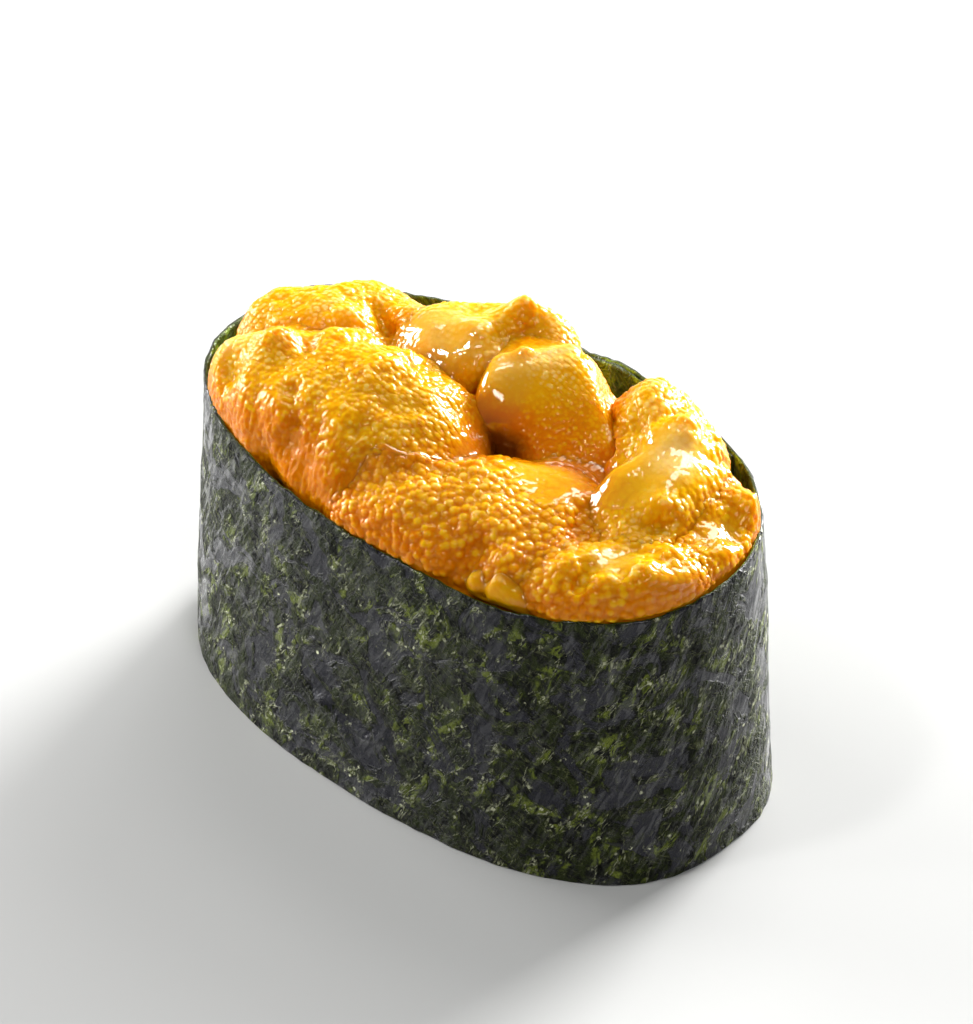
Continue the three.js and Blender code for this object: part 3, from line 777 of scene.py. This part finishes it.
def folding(tongue, points):
    """Height of the ridges and creases: a bell across each line, or round its one place."""
    height = np.zeros(points.shape[:-1])
    for *line, radius, rise in tongue["folds"]:
        start, end = np.resize(np.array(line, dtype=float), (2, 3))
        height = height + rise * bell(from_line(points, start, end) / radius)
    return height


def soft_above(x, softness):
    """x where it is above zero, and zero below, joined by a parabola as wide as the softness."""
    return np.maximum(x, 0) + np.maximum(softness - np.abs(x), 0) ** 2 / (4 * softness)


def clearance(tongue, points, seed):
    """How far points lie outside a tongue: their distance from its spine's nearest place, less
    the section's reach in that direction. It is negative inside."""
    q = np.linspace(-1, 1, SPINE_SAMPLES)
    centre, along, side, up, pace = spine_at(tongue, q)
    span = (points**2).sum(1)[:, None] - 2 * points @ centre.T + (centre**2).sum(1)[None, :]
    near = span.argmin(axis=1)
    offset = points - centre[near]
    ahead = (offset * along[near]).sum(1)
    place = q[near] + ahead / pace[near]
    a = (offset * side[near]).sum(1)
    b = (offset * up[near]).sum(1)
    away = np.hypot(a, b) + 1e-6
    reach = section_reach(tongue, a / away, b / away) + swelling(tongue, points, seed)
    beyond = np.maximum(np.abs(place) - 1, 0) * pace[near]
    out = np.hypot(away, beyond) - fullness(tongue, place) * reach
    for x, y, z, offset, softness in tongue.get("flats", []):
        over = points @ np.array([x, y, z]) - offset
        out = over + soft_above(out - over, softness)
    return out - folding(tongue, points)


def clear_of(others, points):
    """The least clearance to any of some tongues, each with its seed. Far ones are passed over."""
    least = np.full(len(points), 9.0)
    for tongue, seed in others:
        near = close_to(tongue, points)
        if near.any():
            least[near] = np.minimum(least[near], clearance(tongue, points[near], seed))
    return least


def close_to(tongue, points):
    """Which points lie in a box round a tongue, with room to spare."""
    spine = np.array(tongue["spine"])
    margin = max(tongue["wide"], tongue["thick"]) + 4
    return ((points > spine.min(0) - margin) & (points < spine.max(0) + margin)).all(axis=1)


def melting(tongue, others, points):
    """How far two soft skins rise where they meet: with k, the middle of their melts, and c, the
    clearance to the other, (k - c) squared over 4 k, so that both meet in one smooth hollow."""
    rise = np.zeros(len(points))
    for other, seed in others:
        near = close_to(other, points)
        if near.any():
            k = np.sqrt(tongue["melt"] * other["melt"])
            c = np.abs(clearance(other, points[near], seed))
            rise[near] = np.maximum(rise[near], np.maximum(k - c, 0) ** 2 / (4 * k))
    return rise


def egg_cells(points, pitch, salt):
    """Distance to the nearest of points strewn one to each cell of a cubic lattice, in pitches,
    and a number by chance for that point."""
    place = points / pitch + 0.733 * salt
    home = np.floor(place)
    nearest = np.full(points.shape[:-1], 9.0)
    tone = np.zeros(points.shape[:-1])
    for step in np.ndindex(3, 3, 3):
        cell = home + np.array(step) - 1
        strewn = cell + 0.5 + 0.72 * (np.stack([chance(cell, salt + k) for k in range(3)], -1) - 0.5)
        away = ((place - strewn) ** 2).sum(-1)
        closer = away < nearest
        tone = np.where(closer, strewn[..., 0] * 7.13 % 1, tone)
        nearest = np.where(closer, away, nearest)
    return np.sqrt(nearest), tone


def even_places(tongue):
    """Places along the spine whose rings lie evenly over the skin, ends included."""
    fine = -np.cos(np.linspace(0.004, np.pi - 0.004, 1500))
    centre = spine_at(tongue, fine)[0]
    radius = fullness(tongue, fine) * tongue["wide"]
    pace = np.hypot(np.linalg.norm(np.diff(centre, axis=0), axis=1), np.diff(radius))
    length = np.concatenate([[0], np.cumsum(pace)])
    rings = int(length[-1] / SKIN_STEP)
    return np.interp(np.linspace(0, length[-1], rings), length, fine)


def plain_tongue(tongue):
    """A grid of rings round the spine, denser on top: the spine's place, plus the section's reach
    in a direction times the fullness. The places, fullness and directions come first."""
    q = even_places(tongue)
    centre, _, side, up, _ = spine_at(tongue, q)
    around = np.pi * (tongue["wide"] + tongue["thick"])
    sides = min(int(0.8 * around / SKIN_STEP), SKIN_POINTS // len(q))
    even = 2 * np.pi * (np.arange(sides) / sides - 0.5)
    turn = np.pi / 2 + even - TOPSIDE * np.sin(even)
    a, b = np.cos(turn)[None, :, None], np.sin(turn)[None, :, None]
    way = a * side[:, None, :] + b * up[:, None, :]
    full = fullness(tongue, q)[:, None]
    plain = centre[:, None, :] + way * (full * section_reach(tongue, a[..., 0], b[..., 0]))[..., None]
    return centre, full, way, plain


def glaze_over(tongue, plain, seed):
    """How thick the glaze lies, from 0 to 1: the ease curve of the tongue's own share, made uneven,
    plus its glazed spots."""
    glazed = [[*spot, 1.1] for spot in tongue["glazed"]]
    return ease(tongue["glaze"] + 0.3 * crumple(plain, 3.1, seed + 80) + spots(glazed, plain))


def knots(points, pitch, salt):
    """Height of round knots of eggs: 1 less the square of the distance to the nearest middle, as a
    share of a knot's radius, and all of it 0.4 lower."""
    return np.maximum(1 - (egg_cells(points, pitch, salt)[0] / KNOT_RADIUS) ** 2, 0) - 0.4


def lumpiness(tongue, plain, glaze, seed):
    """Height of the coarse and fine knots, which come in patches and drown in glaze, plus a broad
    unevenness."""
    coarse = knots(plain, KNOT_PITCH, seed + 40)
    fine = knots(plain, KNOT_PITCH / 2, seed + 60)
    patch = 0.6 + 0.6 * crumple(plain, 6, seed + 30)
    lumps = tongue["clumps"] * (1.5 * coarse + 0.7 * fine) * patch * (1 - 0.8 * glaze)
    return lumps + 0.15 * crumple(plain, 4, seed + 50)


def drawn_clear(points, foot, above):
    """Points inside a tongue above are drawn back towards their foot, to the last place on that
    line that is clear, found by halving."""
    inside = np.flatnonzero(clear_of(above, points) < TOUCH)
    low, high = np.zeros(len(inside)), np.ones(len(inside))
    ray = points[inside] - foot[inside]
    for _ in range(HALVINGS):
        middle = (low + high) / 2
        free = clear_of(above, foot[inside] + ray * middle[:, None]) >= TOUCH
        low = np.where(free, middle, low)
        high = np.where(free, high, middle)
    points[inside] = foot[inside] + ray * low[:, None]
    return points


def in_collar(points):
    """Points brought softly within the band's inner face, and above the rim within a quarter
    round outwards and a dome. Also their angle, their height over the rim as a share of the
    overhang, and how far they stay within."""
    angle = np.arctan2(points[:, 1], points[:, 0])
    reach = np.hypot(points[:, 0], points[:, 1])
    rise = np.maximum(points[:, 2] - rim_height(angle), 0)
    over = np.minimum(rise / OVERHANG, 1)
    bulge = OVERHANG * np.sqrt(over * (2 - over))
    limit = wall_radius(angle, points[:, 2]) - BAND_THICK - COLLAR_ROOM + bulge - rise**2 / (2 * DOME)
    softly = limit - SHOULDER * np.log1p(np.exp((limit - reach) / SHOULDER))
    points[:, :2] *= (softly / reach)[:, None]
    return points, angle, over, limit - softly


def tongue_skin(tongue, seed, above, below):
    """A tongue's skin. The plain one swells outwards from its spine, is cut to its flat faces,
    folds, runs into its neighbours, gives way to those above and stays in the collar. Glaze fills
    the last crease, and elsewhere eggs stand out, mostly along the skin's own slant. The rice
    below cuts it level."""
    centre, full, way, plain = plain_tongue(tongue)
    glaze = glaze_over(tongue, plain, seed)
    height = swelling(tongue, plain, seed) + lumpiness(tongue, plain, glaze, seed)
    points = (plain + way * (full * height)[..., None]).reshape(-1, 3)
    over_rice = np.maximum(centre[:, 2] - RICE_TOP - GAP - 0.3, 0)
    foot = centre - np.array([0, 0, 1]) * np.minimum(0.7 * tongue["thick"] * full[:, 0], over_rice)[:, None]
    foot = np.broadcast_to(foot[:, None, :], plain.shape).reshape(-1, 3)
    outward = (points - foot) / np.linalg.norm(points - foot, axis=1)[:, None]
    for x, y, z, offset, softness in tongue.get("flats", []):
        past = soft_above(points @ np.array([x, y, z]) - offset, softness)
        points = points - np.array([x, y, z]) * past[:, None]
    points = points + outward * (full + 0 * height).ravel()[:, None] * folding(tongue, points)[:, None]
    points = points + outward * melting(tongue, above + below, points)[:, None]
    points = drawn_clear(points, foot, above)
    meeting = np.maximum(np.minimum(clear_of(above, points), clear_of(below, points)), 0)
    points, angle, over, away = in_collar(points)
    grid = points.reshape(plain.shape)
    facing = np.cross(np.gradient(grid, axis=1), np.gradient(grid, axis=0)).reshape(-1, 3)
    facing /= np.linalg.norm(facing, axis=1)[:, None] + 1e-9
    # Painted light: a share for how high the skin lies and how nearly level it faces, which paints it paler
    # there.
    painted_top_light = 0.45 * ease((points[:, 2] - 30.5) / 6) + 0.55 * np.abs(facing[:, 2])
    outward = 0.4 * outward + facing * np.sign((facing * outward).sum(axis=1))[:, None]
    outward /= np.linalg.norm(outward, axis=1)[:, None]
    film = np.maximum(glaze.ravel(), bell(meeting / 0.4))
    glaze = np.maximum(film, bell(away / 0.3) * (over < 0.1))
    size, relief = tongue["eggs"]
    distance, tone = egg_cells(points, size, seed * 5)
    egg = np.sqrt(np.maximum(1 - (distance / EGG_RADIUS) ** 2, 0)) * (0.8 + 0.3 * tone)
    points = points + outward * (relief * (egg - 0.6) * (1 - 0.85 * glaze) + 0.03 * glaze)[:, None]
    reach = np.hypot(points[:, 0], points[:, 1])
    limit = wall_radius(angle, points[:, 2]) - BAND_THICK - EGG_ROOM + 9 * (over > 0)
    points[:, :2] *= (np.minimum(reach, limit) / reach)[:, None]
    points[:, 2] = np.maximum(points[:, 2], RICE_TOP + GAP)
    ends = points.reshape(plain.shape)[[0, -1]].mean(axis=1)
    marks = {
        "glaze": glaze,
        "film": film,
        "egg": egg,
        "tone": tone,
        # Painted shade where tongues meet, fading with the clearance to the neighbours.
        "meeting": bell(meeting / min(CREASE_SHADE_WIDTH, 2 * tongue["melt"])),
        "top_light": painted_top_light,
        "hue_and_light": spots(HUE_AND_LIGHT_SPOTS, points),
        "hole_shade": np.minimum(spots(HOLE_SHADE_SPOTS, points), 1),
    }
    marks = {mark: np.concatenate([values, values[[0, -1]]]) for mark, values in marks.items()}
    return np.concatenate([points, ends]), tube_faces(*plain.shape[:2]), marks


# The roe's colours, blended by a paleness that carries painted light and painted shade.
YOLK = (236, 195, 106)
PALE_ORANGE = (226, 167, 8)
DEEP_ORANGE = (216, 124, 1)
CREASE_SHADE_AMBER = (202, 108, 1)
HOLE_SHADE_BROWN = (84, 32, 4)


def roe_finish(name, tint):
    """A tongue's wet skin: paler where it lies high and faces up, and on the tips of its eggs, as painted
    light; deeper on its flanks and in the clefts, amber where tongues meet, and dark brown in the deep
    hole, as painted shade. A coat shines where the film of glaze is thick. tint draws all of it from
    deep to pale."""

    def shades(shade):
        glaze = shade.mark("glaze")
        # Painted light and shade: egg tips paler and the clefts between eggs deeper; glaze evens it out.
        egg_tip_light = shade.mark("egg").between(0.5, 1.05) * (1 - 0.7 * glaze) + 0.35 * glaze
        # Painted light: the skin is paler where it lies high and faces up, and deeper elsewhere as painted
        # shade.
        pale = 0.6 * shade.mark("top_light") + 0.35 * egg_tip_light + 0.3 * shade.noise(0.004, 3)
        # Painted light and shade, with some of the roe's own colour, from the listed spots.
        pale = pale + 0.15 * shade.mark("tone") * (1 - glaze) + shade.mark("hue_and_light") + 0.6 * (tint - 0.66)
        skin = pale.between(0.2, 0.75).blend(DEEP_ORANGE, PALE_ORANGE)
        skin = pale.between(0.72, 1.2).blend(skin, YOLK)
        # Painted shade: amber where tongues meet.
        skin = (0.7 * shade.mark("meeting")).blend(skin, CREASE_SHADE_AMBER)
        # Painted shade: the deep hole is painted dark brown.
        skin = (0.9 * shade.mark("hole_shade")).blend(skin, HOLE_SHADE_BROWN)
        grain = shade.cells(0.00042, "F1", "Distance")
        return {
            "Base Color": skin,
            "Roughness": 0.12 - 0.06 * glaze,
            "Coat Weight": 0.9 * shade.mark("film").between(0.5, 0.95),
            "Normal": grain.bump(0.35, 0.00006, invert=True),
        }

    fixed = {
        "IOR": 1.38,
        "Coat IOR": 1.75,
        "Coat Roughness": 0.07,
        "Specular Tint": (1.0, 0.84, 0.45, 1.0),
        "Subsurface Weight": 0.8,
        "Subsurface Radius": (1.0, 0.65, 0.1),
        "Subsurface Scale": 0.0018,
    }
    return new_finish(name, fixed, shades)


for place, tongue in enumerate(TONGUES):
    above = [(other, k + 1) for k, other in enumerate(TONGUES[:place])]
    below = [(other, place + 2 + k) for k, other in enumerate(TONGUES[place + 1:])]
    skin_points, skin_faces, skin_marks = tongue_skin(tongue, place + 1, above, below)
    add_piece(
        "urchin_" + tongue["name"], "roe_" + tongue["name"],
        skin_points, skin_faces, roe_finish("roe_" + tongue["name"], tongue["tint"]), skin_marks,
    )

# --- Floor, lights and camera -------------------------------------------------------------------
# A pale level floor, soft lamps of a small studio, and a long lens that looks down on one end.
FLOOR_SIZE = 4.0
FLOOR_PALE = (198, 198, 196)
CAMERA_TURN = 42.98  # degrees round from -Y towards +X
CAMERA_RISE = 39.81  # degrees above level
CAMERA_DISTANCE = 1.1533
LENS = 447.5
AIM_HEIGHT = 0.015
AIM_UP = 0.00578
AIM_RIGHT = 0.00041
SKY_COLOUR = (0.9, 0.95, 1.0, 1.0)
SKY_STRENGTH = 0.1
LAMP_TARGET = Vector((0, 0, 0.03))

# name: degrees round from the camera (rightwards), degrees above level, distance, two sizes, power.
LAMPS = {
    "key": (172, 59, 0.9, (0.32, 0.28), 1.3),
    "window": (148, 42, 0.9, (0.44, 0.36), 2.6),
    "spark": (-70, 62, 0.9, (0.1, 0.1), 1.7),
    "graze": (-84, 16, 0.8, (0.1, 0.25), 1.0),
    "left": (-124, 9, 0.8, (0.5, 0.4), 10.0),
    "right": (140, 9, 0.8, (0.35, 0.5), 26.0),
    "front": (20, 44, 1.2, (0.4, 0.4), 3.7),
}


def way_at(turn, rise):
    """The way out to a place so many degrees round from -Y towards +X, and above level."""
    turn, rise = np.radians([turn, rise])
    return Vector((np.sin(turn) * np.cos(rise), -np.cos(turn) * np.cos(rise), np.sin(rise)))


floor_mesh = bpy.data.meshes.new("floor")
half = FLOOR_SIZE / 2
corners = [(-half, -half, 0), (half, -half, 0), (half, half, 0), (-half, half, 0)]
floor_mesh.from_pydata(corners, [], [(0, 1, 2, 3)])
floor_shades = {"Base Color": colour(*FLOOR_PALE), "Roughness": 0.6}
floor_mesh.materials.append(new_finish("floor", floor_shades, lambda shade: {}))
floor = new_object("floor", floor_mesh)

for name, (turn, rise, distance, size, power) in LAMPS.items():
    way = way_at(CAMERA_TURN + turn, rise)
    light = bpy.data.lights.new(name, "AREA")
    light.shape = "ELLIPSE"
    light.size, light.size_y = size
    light.energy = power
    lamp = new_object(name, light)
    lamp.location = LAMP_TARGET + way * distance
    lamp.rotation_euler = (-way).to_track_quat("-Z", "Y").to_euler()

world = bpy.data.worlds.new("studio")
world.use_nodes = True
sky = world.node_tree.nodes["Background"].inputs
sky["Color"].default_value = SKY_COLOUR
sky["Strength"].default_value = SKY_STRENGTH
bpy.context.scene.world = world
bpy.context.scene.view_settings.view_transform = "Standard"

turn = np.radians(CAMERA_TURN)
back = way_at(CAMERA_TURN, CAMERA_RISE)
right = Vector((np.cos(turn), np.sin(turn), 0))
upward = back.cross(right)
aim = Vector((0, 0, AIM_HEIGHT)) + upward * AIM_UP + right * AIM_RIGHT
lens = bpy.data.cameras.new("camera")
lens.lens = LENS
lens.sensor_fit = "VERTICAL"
lens.sensor_height = 36.0
lens.clip_end = 20.0
camera = new_object("camera", lens)
camera.matrix_world = Matrix.Translation(aim + back * CAMERA_DISTANCE) @ Matrix(
    [[*axis, 0] for axis in zip(right, upward, back)] + [[0, 0, 0, 1]]
)
bpy.context.scene.camera = camera
